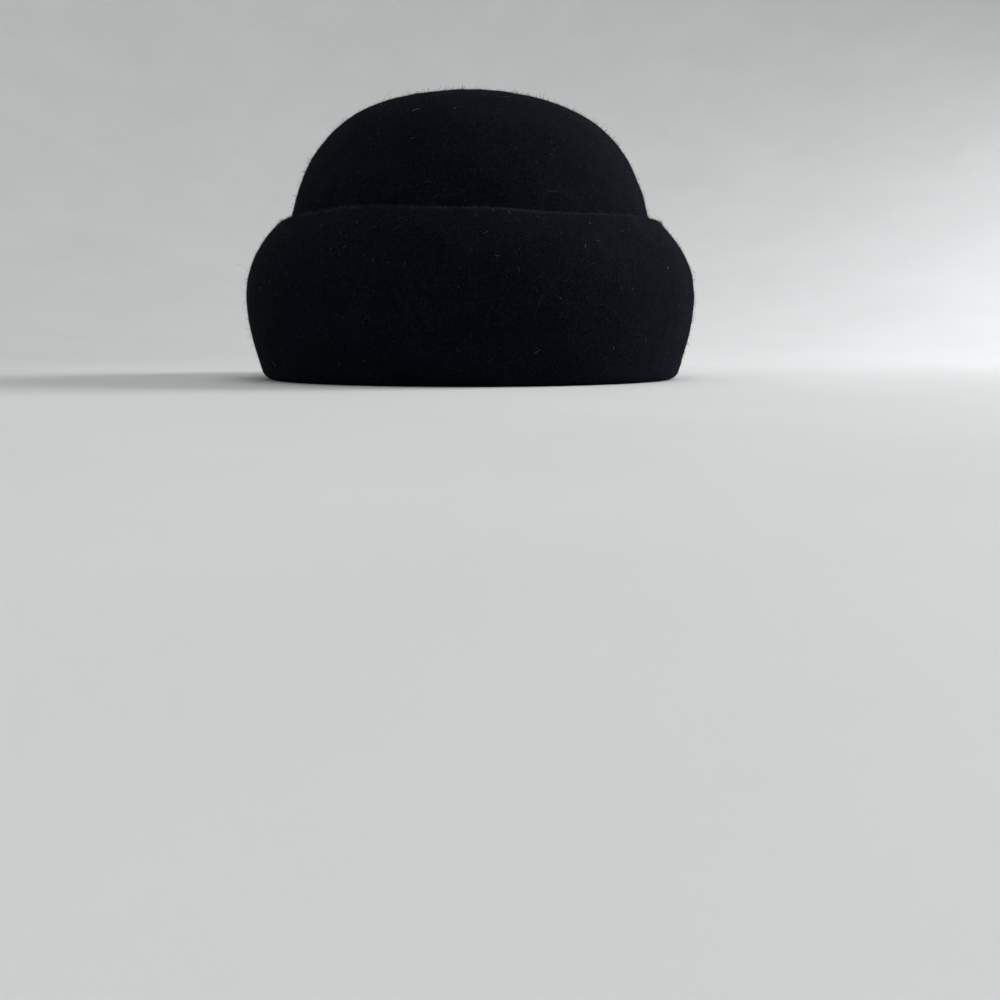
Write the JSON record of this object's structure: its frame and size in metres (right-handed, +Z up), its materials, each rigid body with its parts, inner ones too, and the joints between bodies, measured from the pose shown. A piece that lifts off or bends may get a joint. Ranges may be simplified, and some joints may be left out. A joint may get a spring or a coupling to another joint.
{
  "type": "felt sailor hat",
  "caption": "Black felt hat with a deep rounded oval crown and a tall brim turned up all round as a rolled cuff, open below for a head, with a bare cloth label inside at the back.",
  "frame": {"origin": "middle of the rolled rim, on the surface that the hat stands on", "axes": "+Z up through the crown's tip, -Y towards the front of the hat, +X towards the wearer's left side, on the right when seen from the front"},
  "size_m": [0.198, 0.2334, 0.1194],
  "materials": {
    "felt": "matte black wool felt with a fine fuzzy nap",
    "label_cloth": "pale satin-woven cloth, bare"
  },
  "bodies": {
    "root": {"felt_body": "felt", "label": "label_cloth"}
  },
  "joints": []
}
